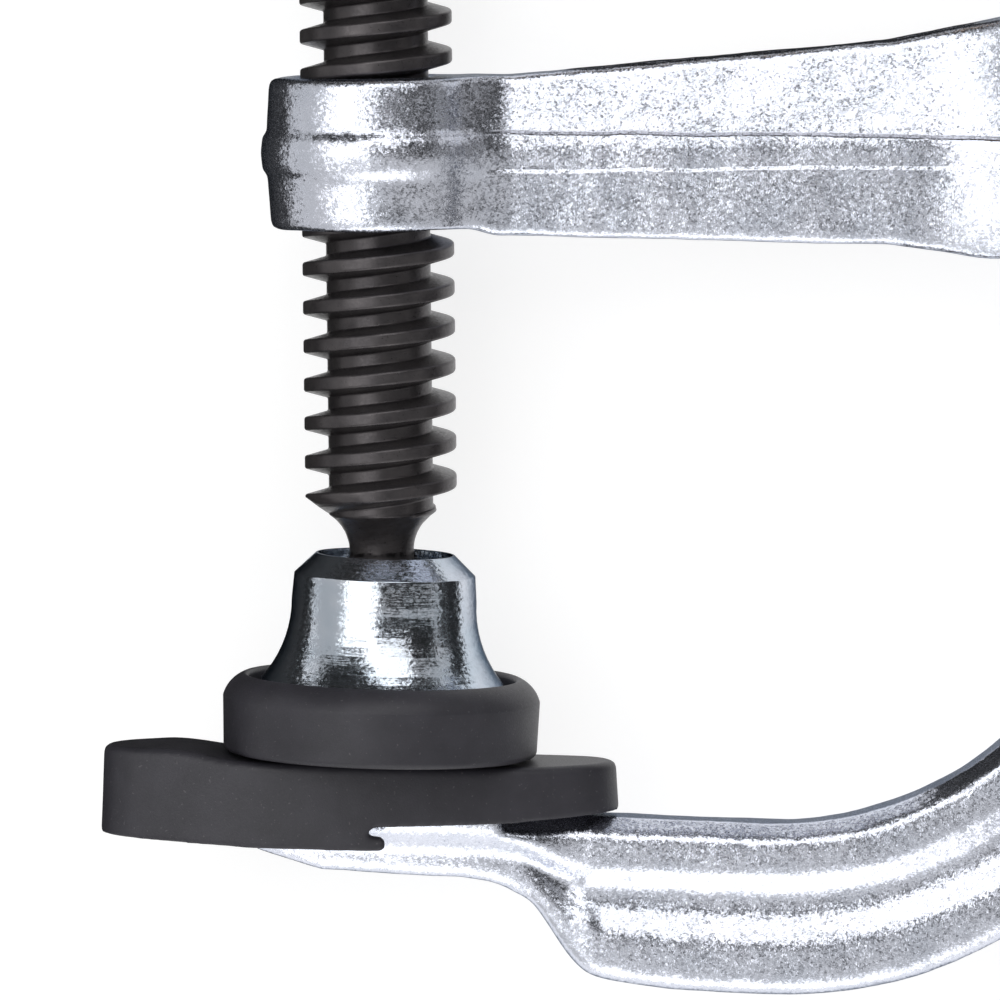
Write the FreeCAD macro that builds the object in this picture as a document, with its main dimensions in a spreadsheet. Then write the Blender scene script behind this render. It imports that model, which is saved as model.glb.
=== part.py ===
import FreeCAD, Part
import math
import os
import Sketcher
from FreeCAD import Placement, Rotation, Vector

# A small sliding-arm screw clamp, lying on its side.
# +Y runs along the spindle and the rail, +X from the spindle towards the rail, and +Z up.
# The origin is on the spindle axis at the clamping face of the fixed jaw. Lengths are in mm.

DIMENSIONS = {
    # Screw thread
    "thread_major_r": 5.9,
    "thread_minor_r": 4.05,
    "thread_pitch": 3.0,
    "thread_crest": 1.0,
    "thread_flank": 15.0,
    "thread_low": 20.4,
    "thread_chamfer": 37.0,
    "thread_length": 79.5,
    "thread_phase": 0.6,
    "thread_gap": 0.2,
    # Ball end of the spindle
    "neck_r": 2.5,
    "neck_sweep_r": 3.4,
    "ball_r": 4.0,
    "ball_height": 8.5,
    "ball_gap": 0.08,
    # Handle end of the spindle
    "collar_r": 6.6,
    "collar_length": 3.5,
    "tang_r": 3.5,
    "tang_length": 30.0,
    "fit_gap": 0.05,
    # Handle
    "handle_r": 12.3,
    "handle_foot_r": 8.8,
    "handle_length": 82.0,
    "handle_foot_length": 10.0,
    "handle_belly_height": 50.8,
    "handle_swell_r": 180.0,
    "handle_belly_r": 61.5,
    "handle_end_r": 8.5,
    "handle_dome": 3.0,
    "ferrule_wall": 0.6,
    "pin_r": 1.5,
    "pin_height": 16.0,
    # Pressure plate
    "plate_tilt": 2.2,
    "plate_floor": 2.0,
    "plate_base_r": 11.2,
    "plate_base_length": 2.2,
    "plate_foot_r": 9.5,
    "plate_foot_height": 5.9,
    "plate_waist_r": 7.1,
    "plate_waist_height": 12.3,
    "plate_flare_r": 9.3,
    "plate_rim_height": 14.3,
    "plate_top_height": 15.9,
    "plate_mouth_r": 5.25,
    "plate_rim_flat": 0.15,
    "plate_edge_r": 0.4,
    "ring_r": 5.8,
    "ring_low": 9.6,
    "ring_length": 1.8,
    # Cap of the pressure plate
    "rest_gap": 0.33,
    "cap_r": 12.0,
    "cap_shoulder_r": 12.3,
    "cap_shoulder_height": 4.9,
    "cap_top_height": 6.7,
    "cap_lip_r": 10.4,
    "cap_lip_edge": 0.4,
    "cap_shoulder_bow": 2.6,
    "cap_edge_r": 1.0,
    # Fixed jaw and rail
    "jaw_slope": 3.0,
    "throat": 58.0,
    "rail_width": 12.9,
    "rail_thickness": 6.5,
    "rail_top": 166.0,
    "rail_edge_r": 1.4,
    "bend_r": 27.0,
    "arm_drop": 3.8,
    "arm_root": 17.0,
    "groove_start": 3.85,
    "groove_slope_a": 1.6,
    "groove_web": 1.45,
    "groove_slope_b": 2.2,
    "groove_depth": 0.9,
    "groove_end": 2.5,
    "anvil_top": 2.6,
    "anvil_height": 5.7,
    "anvil_edge_r": 1.3,
    "stop_pin_r": 2.0,
    "stop_pin_inset": 6.0,
    "stop_head_r": 3.1,
    "stop_head_length": 1.4,
    # Cap of the fixed jaw
    "pad_half_length": 20.0,
    "pad_half_width": 7.8,
    "pad_end_r": 4.5,
    "pad_shift": -1.9,
    "pad_draft": 3.0,
    "pad_wall": 1.1,
    "pad_left_top": 0.92,
    "pad_right_top": -0.44,
    "pad_edge_r": 0.6,
    "pad_skirt": 6.5,
    "pad_short_skirt": 4.65,
    "pad_floor": 5.7,
    "pad_hook_left": -0.9,
    "pad_hook_right": 0.5,
    "pad_level_half": 10.0,
    "pad_mouth_left": -12.0,
    "pad_mouth_right": 1.5,
    # Sliding arm
    "eye_r": 8.65,
    "eye_low": 41.3,
    "eye_high": 53.0,
    "parting_height": 47.2,
    "forging_draft": 4.0,
    "arm_half": 5.0,
    "arm_blend_r": 3.0,
    "arm_rise": 4.7,
    "arm_fall": 1.5,
    "flash_out": 0.42,
    "flash_arm_out": 0.32,
    "flash_low": 45.8,
    "flash_high": 48.5,
    "arm_edge_r": 0.5,
    "eye_bend_r": 20.0,
    "arm_bend_r": 8.0,
    "head_bend_r": 4.0,
    "head_step": 1.5,
    "head_start": 50.0,
    "head_half": 7.25,
    "head_blend_r": 14.0,
    "head_end": 78.0,
    "head_corner_r": 2.5,
    "head_low": 38.6,
    "head_high": 57.6,
    "window_gap": 0.25,
}


class Size:
    """A length or an angle: its value now, and the formula of sheet cells that gives it."""

    def __init__(self, value, text):
        self.value = float(value)
        self.text = text

    @staticmethod
    def of(other):
        return other if isinstance(other, Size) else Size(other, "(%r)" % float(other))

    def join(self, sign, other, value):
        return Size(value, "(%s %s %s)" % (self.text, sign, other.text))

    def __add__(self, other):
        other = Size.of(other)
        return self.join("+", other, self.value + other.value)

    def __sub__(self, other):
        other = Size.of(other)
        return self.join("-", other, self.value - other.value)

    def __mul__(self, other):
        other = Size.of(other)
        return self.join("*", other, self.value * other.value)

    def __truediv__(self, other):
        other = Size.of(other)
        return self.join("/", other, self.value / other.value)

    def __radd__(self, other):
        return Size.of(other) + self

    def __rsub__(self, other):
        return Size.of(other) - self

    def __rmul__(self, other):
        return Size.of(other) * self

    def __rtruediv__(self, other):
        return Size.of(other) / self

    def __neg__(self):
        return Size(-self.value, "(0 - %s)" % self.text)


def sine(angle):
    return Size(math.sin(math.radians(angle.value)), "sin(%s)" % angle.text)


def cosine(angle):
    return Size(math.cos(math.radians(angle.value)), "cos(%s)" % angle.text)


def tangent(angle):
    return Size(math.tan(math.radians(angle.value)), "tan(%s)" % angle.text)


def root(size):
    return Size(math.sqrt(size.value), "sqrt(%s)" % size.text)


def whole(size):
    return Size(math.floor(size.value), "floor(%s)" % size.text)


def arc_sine(size):
    return Size(math.degrees(math.asin(size.value)), "asin(%s) / 1deg" % size.text)


def arc_tangent(size):
    return Size(math.degrees(math.atan(size.value)), "atan(%s) / 1deg" % size.text)


class Sizes:
    """The driving dimensions by name, each bound to its cell of the sheet."""

    def __init__(self, document):
        sheet = document.addObject("Spreadsheet::Sheet", "sizes")
        for row, (alias, value) in enumerate(DIMENSIONS.items(), start=1):
            sheet.set("A%d" % row, alias)
            sheet.set("B%d" % row, str(value))
            sheet.setAlias("B%d" % row, alias)
            setattr(self, alias, Size(value, "sizes." + alias))
        document.recompute()


class Corner:
    """A point of an outline. The side that leaves it is straight, or an arc where bow gives a
    radius, positive with its centre to the left of the way travelled. round_r rounds a corner
    between two straight sides."""

    def __init__(self, x, y, round_r=None, bow=None, long_way=False):
        self.x = Size.of(x)
        self.y = Size.of(y)
        self.round_r = None if round_r is None else Size.of(round_r)
        self.bow = None if bow is None else Size.of(bow)
        self.long_way = long_way

    def point(self):
        return Vector(self.x.value, self.y.value, 0)


doc = FreeCAD.newDocument("ScrewClamp")
s = Sizes(doc)


def new_body(name):
    body = doc.addObject("PartDesign::Body", name)
    body.Label = name
    return body


def new_sketch(body, name, role, shift=(0, 0, 0), axis=Vector(0, 0, 1), turn=None):
    """A sketch on one of the body's origin planes, moved and turned from it."""
    sketch = body.newObject("Sketcher::SketchObject", name)
    plane = next(item for item in body.Origin.OriginFeatures if item.Role == role)
    sketch.AttachmentSupport = (plane, "")
    sketch.MapMode = "FlatFace"
    shift = [Size.of(length) for length in shift]
    angle = Size.of(0 if turn is None else turn)
    base = Vector(*[length.value for length in shift])
    sketch.AttachmentOffset = Placement(base, Rotation(axis, angle.value))
    for letter, length in zip("xyz", shift):
        if "sizes." in length.text:
            sketch.setExpression("AttachmentOffset.Base." + letter, length.text)
    if "sizes." in angle.text:
        sketch.setExpression("AttachmentOffset.Rotation.Angle", angle.text)
    return sketch


def drive(sketch, kind, *parts):
    """Add a constraint whose last part is a Size, and bind it to its formula."""
    size = parts[-1]
    index = sketch.addConstraint(Sketcher.Constraint(kind, *parts[:-1], size.value))
    if "sizes." in size.text:
        sketch.setExpression("Constraints[%d]" % index, size.text)


def fix(sketch, item, end, x, y):
    """Hold a point of a sketch at x, y from its origin."""
    for kind, size, line in (("DistanceX", x, -2), ("DistanceY", y, -1)):
        if size.value == 0:
            sketch.addConstraint(Sketcher.Constraint("PointOnObject", item, end, line))
        else:
            drive(sketch, kind, -1, 1, item, end, size)


def arc_through(start, end, bow, long_way):
    """The arc from start to end whose radius and side bow gives."""
    chord = end - start
    half = chord.Length / 2
    left = Vector(-chord.y, chord.x, 0).normalize()
    rise = math.sqrt(max(bow * bow - half * half, 0))
    side = 1 if bow > 0 else -1
    bulge = abs(bow) + rise if long_way else abs(bow) - rise
    return Part.Arc(start, (start + end) * 0.5 - left * (side * bulge), end)


def draw(sketch, corners, closed=True):
    """Draw an outline through the corners, every point and radius bound to its formula."""
    count = len(corners)
    trims = []
    for index, corner in enumerate(corners):
        here = corner.point()
        if corner.round_r is None:
            trims.append((here, here))
            continue
        back = (corners[index - 1].point() - here).normalize()
        ahead = (corners[(index + 1) % count].point() - here).normalize()
        trim = corner.round_r.value / math.tan(back.getAngle(ahead) / 2)
        trims.append((here + back * trim, here + ahead * trim))
    sides = []
    reversed_arc = []
    for index in range(count if closed else count - 1):
        corner = corners[index]
        start = trims[index][1]
        end = trims[(index + 1) % count][0]
        if corner.bow is None:
            sides.append(sketch.addGeometry(Part.LineSegment(start, end), False))
            reversed_arc.append(False)
        else:
            arc = arc_through(start, end, corner.bow.value, corner.long_way)
            sides.append(sketch.addGeometry(arc, False))
            reversed_arc.append(corner.bow.value < 0)
            drive(sketch, "Radius", sides[-1], Size(abs(corner.bow.value), corner.bow.text)
                  if corner.bow.value > 0 else -corner.bow)

    def start_of(index):
        return sides[index], 2 if reversed_arc[index] else 1

    def end_of(index):
        return sides[index], 1 if reversed_arc[index] else 2

    for index, corner in enumerate(corners):
        if not closed and index in (0, count - 1):
            item, end = start_of(0) if index == 0 else end_of(count - 2)
            fix(sketch, item, end, corner.x, corner.y)
            continue
        before = index - 1 if index else len(sides) - 1
        if corner.round_r is None:
            sketch.addConstraint(Sketcher.Constraint("Coincident", *end_of(before), *start_of(index)))
            fix(sketch, *start_of(index), corner.x, corner.y)
            continue
        here = corner.point()
        tip = sketch.addGeometry(Part.Point(here), True)
        fix(sketch, tip, 1, corner.x, corner.y)
        sketch.addConstraint(Sketcher.Constraint("PointOnObject", tip, 1, sides[before]))
        sketch.addConstraint(Sketcher.Constraint("PointOnObject", tip, 1, sides[index]))
        first, last = trims[index]
        turn = (here - first).cross(last - here).z
        arc = arc_through(first, last, math.copysign(corner.round_r.value, turn), False)
        rounding = sketch.addGeometry(arc, False)
        ends = (1, 2) if turn > 0 else (2, 1)
        sketch.addConstraint(Sketcher.Constraint("Tangent", *end_of(before), rounding, ends[0]))
        sketch.addConstraint(Sketcher.Constraint("Tangent", rounding, ends[1], *start_of(index)))
        drive(sketch, "Radius", rounding, corner.round_r)


def circle(sketch, x, y, radius):
    x, y = Size.of(x), Size.of(y)
    item = sketch.addGeometry(Part.Circle(Vector(x.value, y.value, 0), Vector(0, 0, 1),
                                          radius.value), False)
    fix(sketch, item, 3, x, y)
    drive(sketch, "Radius", item, radius)


def feature(body, kind, name, profile, **settings):
    """A sketch-based feature. A setting that is a Size is bound to its formula."""
    item = body.newObject("PartDesign::" + kind, name)
    item.Profile = profile
    for key, value in settings.items():
        if isinstance(value, Size):
            setattr(item, key, value.value)
            item.setExpression(key, value.text)
        else:
            setattr(item, key, value)
    doc.recompute()
    return item


def turned(body, name, corners, **settings):
    """Revolve an outline about the spindle axis, or about the plate's own where it is tilted."""
    sketch = new_sketch(body, name + "_outline", "XY_Plane", **settings)
    draw(sketch, corners)
    return feature(body, "Revolution", name, sketch, ReferenceAxis=(sketch, ["V_Axis"]), Angle=360)


def tooth_half(radius, gap=0.0):
    """Half the thread tooth's width at a radius, widened by a gap on each flank."""
    return (s.thread_crest / 2 + gap + (s.thread_major_r - radius) * tangent(s.thread_flank))


def thread_sketch(body, name, start, inner, outer, gap=0.0):
    """One tooth, drawn at the height start on the +X side of the axis."""
    sketch = new_sketch(body, name, "XY_Plane")
    wide, narrow = tooth_half(inner, gap), tooth_half(outer, gap)
    draw(sketch, [Corner(inner, start - wide), Corner(outer, start - narrow),
                  Corner(outer, start + narrow), Corner(inner, start + wide)])
    return sketch


def thread(body, kind, name, start, length, inner, outer, gap=0.0):
    sketch = thread_sketch(body, name + "_tooth", start, inner, outer, gap)
    item = body.newObject("PartDesign::" + kind, name)
    item.Profile = sketch
    item.ReferenceAxis = (sketch, ["V_Axis"])
    item.Mode = "pitch-height-angle"
    item.Pitch = s.thread_pitch.value
    item.setExpression("Pitch", s.thread_pitch.text)
    item.Height = length.value
    item.setExpression("Height", length.text)
    item.LeftHanded = False
    doc.recompute()
    return item


THREAD_END = s.thread_low + s.thread_length
HANDLE_FOOT = THREAD_END + s.collar_length
HANDLE_END = HANDLE_FOOT + s.handle_length
PIN_HEIGHT = HANDLE_FOOT + s.pin_height
TANG_END = HANDLE_FOOT + s.tang_length


def crest_below(height):
    """The height of the thread crest next below a height, on the +X side."""
    return s.thread_phase + s.thread_pitch * whole((height - s.thread_phase) / s.thread_pitch)


def make_spindle():
    body = new_body("spindle")
    ball_low = s.ball_height - s.ball_r
    neck_foot = s.ball_height + root(s.ball_r * s.ball_r - s.neck_r * s.neck_r)
    turned(body, "core", [
        Corner(0, ball_low, bow=s.ball_r),
        Corner(s.neck_r, neck_foot),
        Corner(s.thread_minor_r, neck_foot),
        Corner(s.thread_minor_r, THREAD_END),
        Corner(s.collar_r, THREAD_END, 0.5),
        Corner(s.collar_r, HANDLE_FOOT, 0.5),
        Corner(s.tang_r, HANDLE_FOOT),
        Corner(s.tang_r, TANG_END),
        Corner(0, TANG_END)])
    start = crest_below(s.thread_low)
    thread(body, "AdditiveHelix", "thread", start, THREAD_END + 0.5 - start,
           s.thread_minor_r - 0.1, s.thread_major_r)

    # The thread ends in a turned cone that sweeps into the ball's neck
    neck = new_sketch(body, "neck_outline", "XY_Plane")
    past = s.thread_major_r + 1
    steep = tangent(s.thread_chamfer)
    cone_foot = s.thread_low - (s.thread_major_r - s.neck_r) * steep
    draw(neck, [
        Corner(s.neck_r, neck_foot),
        Corner(past, neck_foot),
        Corner(past, s.thread_low + steep),
        Corner(s.neck_r, cone_foot, s.neck_sweep_r)])
    feature(body, "Groove", "neck", neck, ReferenceAxis=(neck, ["V_Axis"]), Angle=360)
    hole = new_sketch(body, "pin_hole_outline", "XY_Plane")
    circle(hole, 0, PIN_HEIGHT, s.pin_r + s.fit_gap)
    feature(body, "Pocket", "pin_hole", hole, Type=1, Midplane=True)
    return body


def make_handle():
    body = new_body("handle")
    bore = s.tang_r + s.fit_gap
    foot_end = HANDLE_FOOT + s.handle_foot_length
    dome_r = ((s.handle_end_r * s.handle_end_r + s.handle_dome * s.handle_dome)
              / (2 * s.handle_dome))
    turned(body, "grip", [
        Corner(bore, HANDLE_FOOT + s.fit_gap),
        Corner(s.handle_foot_r, HANDLE_FOOT + s.fit_gap),
        Corner(s.handle_foot_r, foot_end),
        Corner(s.handle_foot_r + s.ferrule_wall, foot_end, bow=s.handle_swell_r),
        Corner(s.handle_r, HANDLE_FOOT + s.handle_belly_height, bow=s.handle_belly_r),
        Corner(s.handle_end_r, HANDLE_END - s.handle_dome, bow=dome_r),
        Corner(0, HANDLE_END),
        Corner(0, TANG_END + 1),
        Corner(bore, TANG_END + 1)])
    hole = new_sketch(body, "pin_hole_outline", "XY_Plane")
    circle(hole, 0, PIN_HEIGHT, s.pin_r + s.fit_gap)
    feature(body, "Pocket", "pin_hole", hole, Type=1, Midplane=True)
    return body


def make_ferrule():
    body = new_body("handle_ferrule")
    inner = s.handle_foot_r + s.fit_gap
    outer = s.handle_foot_r + s.ferrule_wall
    top = HANDLE_FOOT + s.handle_foot_length - s.fit_gap
    turned(body, "band", [
        Corner(inner, HANDLE_FOOT + s.fit_gap), Corner(outer, HANDLE_FOOT + s.fit_gap, 0.25),
        Corner(outer, top, 0.25), Corner(inner, top)])
    return body


def make_handle_pin():
    body = new_body("handle_pin")
    outline = new_sketch(body, "pin_outline", "XY_Plane")
    circle(outline, 0, PIN_HEIGHT, s.pin_r)
    feature(body, "Pad", "pin", outline, Length=s.handle_foot_r * 2 + 2 * s.ferrule_wall, Midplane=True)
    return body


def tilted():
    """Place a sketch on the pressure plate's own axis, which leans about the ball's centre."""
    lean = s.ball_height * sine(s.plate_tilt)
    drop = s.ball_height - s.ball_height * cosine(s.plate_tilt)
    return {"shift": (-lean, drop, 0), "turn": -s.plate_tilt}


def make_ball_ring():
    body = new_body("ball_ring")
    seat = s.ball_r + s.ball_gap
    low = s.ring_low + s.ball_gap
    high = s.ring_low + s.ring_length - s.ball_gap
    low_r = root(seat * seat - (low - s.ball_height) * (low - s.ball_height))
    high_r = root(seat * seat - (high - s.ball_height) * (high - s.ball_height))
    turned(body, "ring", [
        Corner(low_r, low), Corner(s.ring_r - s.ball_gap, low),
        Corner(s.ring_r - s.ball_gap, high), Corner(high_r, high, bow=-seat)], **tilted())
    return body


def make_plate():
    body = new_body("pressure_plate")
    seat = s.ball_r + s.ball_gap
    ring_high = s.ring_low + s.ring_length
    turned(body, "plate", [
        Corner(0, s.plate_floor),
        Corner(s.plate_base_r, s.plate_floor, s.plate_edge_r),
        Corner(s.plate_base_r, s.plate_floor + s.plate_base_length, s.plate_edge_r),
        Corner(s.plate_foot_r + s.plate_edge_r, s.plate_floor + s.plate_base_length),
        Corner(s.plate_foot_r, s.plate_foot_height, bow=-s.plate_flare_r),
        Corner(s.plate_waist_r, s.plate_waist_height),
        Corner(s.plate_waist_r, s.plate_rim_height),
        Corner(s.plate_mouth_r + s.plate_rim_flat, s.plate_top_height),
        Corner(s.plate_mouth_r, s.plate_top_height),
        Corner(s.plate_mouth_r, ring_high),
        Corner(s.ring_r, ring_high),
        Corner(s.ring_r, s.ring_low),
        Corner(s.plate_mouth_r, s.ring_low),
        Corner(s.plate_mouth_r, s.ball_height),
        Corner(seat, s.ball_height, bow=-seat),
        Corner(0, s.ball_height - seat)], **tilted())
    return body


def make_plate_cap():
    body = new_body("pressure_plate_cap")
    inner = s.plate_base_r + s.fit_gap
    lip_low = s.plate_floor + s.plate_base_length + 7 * s.fit_gap
    turned(body, "cup", [
        Corner(0, s.rest_gap),
        Corner(s.cap_r, s.rest_gap, s.cap_edge_r),
        Corner(s.cap_shoulder_r, s.cap_shoulder_height, bow=s.cap_shoulder_bow),
        Corner(s.cap_lip_r + s.cap_lip_edge, s.cap_top_height, bow=s.cap_lip_edge),
        Corner(s.cap_lip_r, s.cap_top_height - s.cap_lip_edge),
        Corner(s.cap_lip_r, lip_low),
        Corner(inner, lip_low),
        Corner(inner, s.plate_floor - s.fit_gap),
        Corner(0, s.plate_floor - s.fit_gap)], **tilted())
    return body


# The rail and the fixed arm are one forging. Lengths along the arm and heights square to it are
# taken in a frame that leans by the jaw's slope.
BEND_X = s.throat - s.bend_r
BEND_Y = (s.bend_r - s.arm_drop - BEND_X * sine(s.jaw_slope)) / cosine(s.jaw_slope)


def on_arm(along, height):
    """A point of the leaning arm in the clamp's frame."""
    return (along * cosine(s.jaw_slope) + height * sine(s.jaw_slope),
            height * cosine(s.jaw_slope) - along * sine(s.jaw_slope))


def rail_section(body, name, y):
    """The rail's rolled section, with its inner edge at the throat and a groove in each face."""
    section = new_sketch(body, name, "XZ_Plane", shift=(0, 0, -y))
    face, inner = s.rail_thickness / 2, s.throat
    steps = [(inner + out, face - depth) for out, depth in groove_steps()]
    soft = s.groove_depth * 0.8
    front = [Corner(x, z, soft) for x, z in steps]
    back = [Corner(x, -z, soft) for x, z in reversed(steps)]
    draw(section, [Corner(inner, -face, s.rail_edge_r), Corner(inner, face, s.rail_edge_r), *front,
                   Corner(inner + s.rail_width, face, s.rail_edge_r),
                   Corner(inner + s.rail_width, -face, s.rail_edge_r), *back])
    return section


def block_section(body, name, along, top, low, half, edge_r):
    """A rounded rectangle square to the leaning arm."""
    centre_x, centre_y = on_arm(along, Size.of(0))
    section = new_sketch(body, name, "YZ_Plane", shift=(centre_y, 0, centre_x),
                         axis=Vector(0, 1, 0), turn=-s.jaw_slope)
    draw(section, [Corner(-top, -half, edge_r), Corner(-top, half, edge_r),
                   Corner(-low, half, edge_r), Corner(-low, -half, edge_r)])
    return section


def groove_end_section(body, name, along, depth, side):
    """The groove's section square to the leaning arm, with its web at a depth under one face."""
    centre_x, centre_y = on_arm(along, Size.of(0))
    section = new_sketch(body, name, "YZ_Plane", shift=(centre_y, 0, centre_x),
                         axis=Vector(0, 1, 0), turn=-s.jaw_slope)
    face = s.rail_thickness / 2
    heights = [s.arm_drop + out for out, _ in groove_steps()]
    web, proud = face - depth, face + s.groove_depth
    spread = (s.groove_depth + depth) / s.groove_depth
    top = heights[1] - s.groove_slope_a * spread
    low = heights[2] + s.groove_slope_b * spread
    draw(section, [Corner(-top, proud * side), Corner(-heights[1], web * side),
                   Corner(-heights[2], web * side), Corner(-low, proud * side)])
    return section


def jaw_oval():
    """The jaw cap's side arc: its radius, and how far past the middle its centre lies."""
    reach = s.pad_half_length - s.pad_end_r
    width = s.pad_half_width
    side_r = ((reach * reach + width * width - s.pad_end_r * s.pad_end_r)
              / (2 * (width - s.pad_end_r)))
    return side_r, side_r - width


def groove_steps():
    """The rail's groove across its face: distances from the inner edge, and depths."""
    upper = s.groove_start + s.groove_slope_a
    lower = upper + s.groove_web
    none = Size.of(0)
    return [(s.groove_start, none), (upper, s.groove_depth), (lower, s.groove_depth),
            (lower + s.groove_slope_b, none)]


def inside_cap(along, gap):
    """Half the width that the jaw cap's wall leaves free, a gap inside it."""
    side_r, across = jaw_oval()
    inner_r = side_r - s.pad_wall - gap
    return root(inner_r * inner_r - (along - s.pad_shift) * (along - s.pad_shift)) - across


def make_rail():
    body = new_body("rail")
    section = rail_section(body, "rail_section", s.rail_top)
    path = new_sketch(body, "rail_path", "XY_Plane")
    bend_end_x, bend_end_y = on_arm(BEND_X * cosine(s.jaw_slope) - BEND_Y * sine(s.jaw_slope),
                                    -s.arm_drop)
    root_x, root_y = on_arm(s.arm_root, -s.arm_drop)
    draw(path, [Corner(s.throat, s.rail_top), Corner(s.throat, BEND_Y, bow=-s.bend_r),
                Corner(bend_end_x, bend_end_y), Corner(root_x, root_y)], closed=False)
    doc.recompute()
    pipe = body.newObject("PartDesign::AdditivePipe", "rail_bar")
    pipe.Profile = section
    pipe.Spine = path
    doc.recompute()

    # The shoulder: the arm's deep thin section swells into the shallow wide head of the jaw
    arm_low = s.arm_drop + s.rail_width
    anvil_low = s.anvil_top + s.anvil_height
    fall, rise = arm_low - anvil_low, s.arm_drop - s.anvil_top
    half_arm = s.rail_thickness / 2
    shoulder = [block_section(body, "shoulder_root", s.arm_root, s.arm_drop, arm_low, half_arm,
                              s.rail_edge_r)]
    for number, (back, top, low) in enumerate([(2.5, 0.2, 0.24), (5.0, 0.55, 0.66),
                                               (7.5, 0.8, 0.89), (10.5, 1, 1)]):
        along = s.arm_root - back
        half = half_arm if number == 0 else inside_cap(along, 2 * s.fit_gap)
        shoulder.append(block_section(body, "shoulder_%d" % number, along,
                                      s.arm_drop - rise * top, arm_low - fall * low, half,
                                      s.anvil_edge_r))
    loft = body.newObject("PartDesign::AdditiveLoft", "shoulder")
    loft.Profile = shoulder[0]
    loft.Sections = shoulder[1:]
    doc.recompute()

    # The grooves of the rail run out in the shoulder
    for name, side in (("front_groove_end", 1), ("back_groove_end", -1)):
        deep = groove_end_section(body, name + "_deep", s.arm_root, s.groove_depth, side)
        shallow = groove_end_section(body, name + "_shallow", s.arm_root - s.groove_end,
                                     s.groove_depth / -2, side)
        run_out = body.newObject("PartDesign::SubtractiveLoft", name)
        run_out.Profile = deep
        run_out.Sections = [shallow]
        doc.recompute()

    # The head of the jaw: flat under the cap, and thinning to its tip
    head = []
    for number, (back, low, edge_r) in enumerate([(10.5, 1, 1), (21.5, 0.98, 1), (26.5, 0.8, 1),
                                                  (29.0, 0.5, 0.8), (32.5, 0.48, 0.8),
                                                  (35.6, 0.42, 0.7)]):
        along = s.arm_root - back
        head.append(block_section(body, "jaw_head_%d" % number, along, s.anvil_top,
                                  s.anvil_top + s.anvil_height * low,
                                  inside_cap(along, 2 * s.fit_gap), s.anvil_edge_r * edge_r))
    tip = body.newObject("PartDesign::AdditiveLoft", "jaw_head")
    tip.Profile = head[0]
    tip.Sections = head[1:]
    tip.Ruled = True
    doc.recompute()
    hole = new_sketch(body, "stop_hole_outline", "XY_Plane")
    circle(hole, s.throat + s.rail_width / 2, s.rail_top - s.stop_pin_inset,
           s.stop_pin_r + s.fit_gap)
    feature(body, "Pocket", "stop_hole", hole, Type=1, Midplane=True)
    return body


def make_stop_pin():
    body = new_body("rail_stop_pin")
    x, y = s.throat + s.rail_width / 2, s.rail_top - s.stop_pin_inset
    shank = new_sketch(body, "shank_outline", "XY_Plane")
    circle(shank, x, y, s.stop_pin_r)
    reach = s.rail_thickness + 2 * s.fit_gap
    feature(body, "Pad", "shank", shank, Length=reach, Midplane=True)
    for name, side in (("front_head", 1), ("back_head", -1)):
        head = new_sketch(body, name + "_outline", "XY_Plane", shift=(0, 0, side * reach / 2))
        circle(head, x, y, s.stop_head_r)
        feature(body, "Pad", name, head, Length=s.stop_head_length, TaperAngle=-20,
                Reversed=side < 0)
    return body


def oval(sketch, length, width, end_r, shift):
    """A four-arc oval: half length, half width and the radius of its ends, about shift along x.
    Each side arc meets the end arcs where they share a tangent."""
    reach = length - end_r
    side_r = (reach * reach + width * width - end_r * end_r) / (2 * (width - end_r))
    across = side_r - width
    join_x = reach * side_r / (side_r - end_r)
    join_y = across * end_r / (side_r - end_r)
    draw(sketch, [
        Corner(shift + join_x, join_y, bow=side_r), Corner(shift - join_x, join_y, bow=end_r),
        Corner(shift - join_x, -join_y, bow=side_r), Corner(shift + join_x, -join_y, bow=end_r)])


def facing(shape, edge):
    """How far the faces on each side of an edge look along the clamping direction, in order."""
    looks = []
    for face in shape.ancestorsOfType(edge, Part.Face):
        u, v = face.Surface.parameter(face.CenterOfMass)
        looks.append(face.normalAt(u, v).y)
    return sorted(looks)


def round_edges(body, name, radius, test):
    """Round each edge whose faces' looks along Y pass a test."""
    base = body.Tip
    names = ["Edge%d" % number for number, edge in enumerate(base.Shape.Edges, start=1)
             if test(facing(base.Shape, edge))]
    item = body.newObject("PartDesign::Fillet", name)
    item.Base = (base, names)
    item.Radius = radius.value
    item.setExpression("Radius", radius.text)
    doc.recompute()
    return item


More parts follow.
